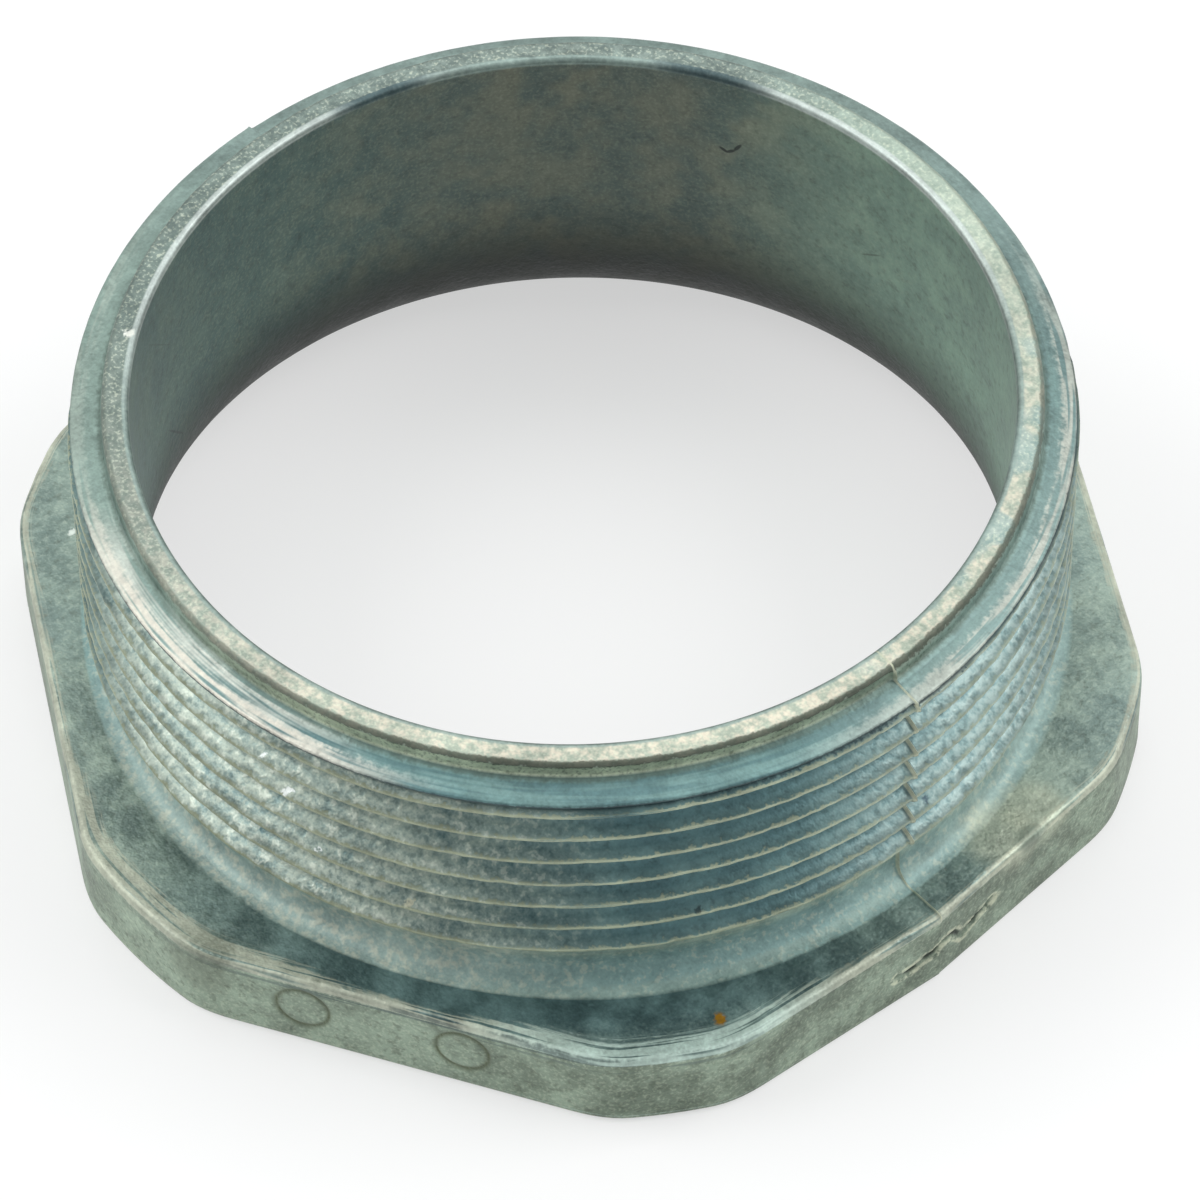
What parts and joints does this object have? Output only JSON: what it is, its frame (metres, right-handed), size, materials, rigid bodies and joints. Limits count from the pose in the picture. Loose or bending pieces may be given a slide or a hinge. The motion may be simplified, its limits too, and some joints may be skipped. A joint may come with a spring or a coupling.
{
  "type": "chase nipple",
  "caption": "Cast chase nipple for conduit: a short threaded barrel with a hexagonal head and a wide smooth throat for pulling wires through.",
  "frame": {"origin": "centre of the head's outer face, on the axis of the bore", "axes": "+Z along the bore axis, from the head up the threaded barrel; the die's parting line lies on the XZ plane, and +X points to the middle of one parted flat"},
  "size_m": [0.0968, 0.1036, 0.0381],
  "materials": {
    "zinc_casting": "dull grey zinc die casting, satin, with paler worn edges"
  },
  "bodies": {
    "root": {"nipple_body": "zinc_casting"}
  },
  "joints": []
}
